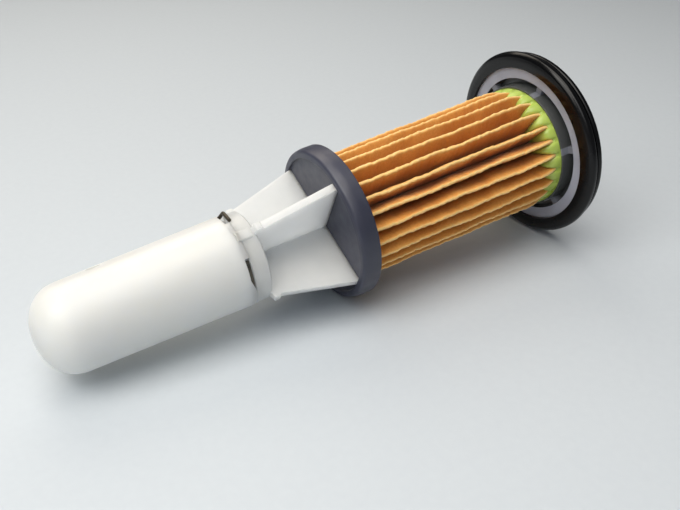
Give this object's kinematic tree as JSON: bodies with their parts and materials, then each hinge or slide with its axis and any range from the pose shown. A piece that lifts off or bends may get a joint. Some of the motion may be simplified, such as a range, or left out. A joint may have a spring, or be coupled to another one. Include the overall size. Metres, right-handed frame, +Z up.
{
  "type": "fuel filter element",
  "caption": "Insert fuel filter with a rubber seal flange, a pleated paper pack, a finned cage and a domed sediment tube that pulls off.",
  "frame": {"origin": "on the filter's axis at the mid-plane of the seal ring, inside the outlet bore", "axes": "+X along the axis towards the domed tube, +Z up as the filter lies on its seal ring and its lower cap"},
  "size_m": [0.1551, 0.056, 0.056],
  "materials": {
    "seal_rubber": "moulded, glossy",
    "flange_plastic": "moulded, satin, slightly translucent",
    "green_adhesive": "cast, smooth",
    "filter_paper": "resin-treated, creped",
    "seam_glue": "cast bead",
    "core_plastic": "moulded",
    "cap_plastic": "moulded, satin",
    "cage_plastic": "moulded, milky, translucent",
    "spring_steel": "drawn wire",
    "tube_plastic": "moulded, glossy, milky"
  },
  "bodies": {
    "element": {"seal_ring": "seal_rubber", "upper_cap": "flange_plastic", "upper_bond": "green_adhesive", "filter_paper": "filter_paper", "side_seam_glue": "seam_glue", "core_tube": "core_plastic", "lower_bond": "green_adhesive", "lower_cap": "cap_plastic", "fin_cage": "cage_plastic", "retaining_ring": "spring_steel"},
    "tube": {"sediment_tube": "tube_plastic"}
  },
  "joints": [
    {"name": "tube_pull", "type": "slide", "parent": "element", "child": "tube", "axis": [1, 0, 0], "range_m": [0, 0.028]}
  ]
}
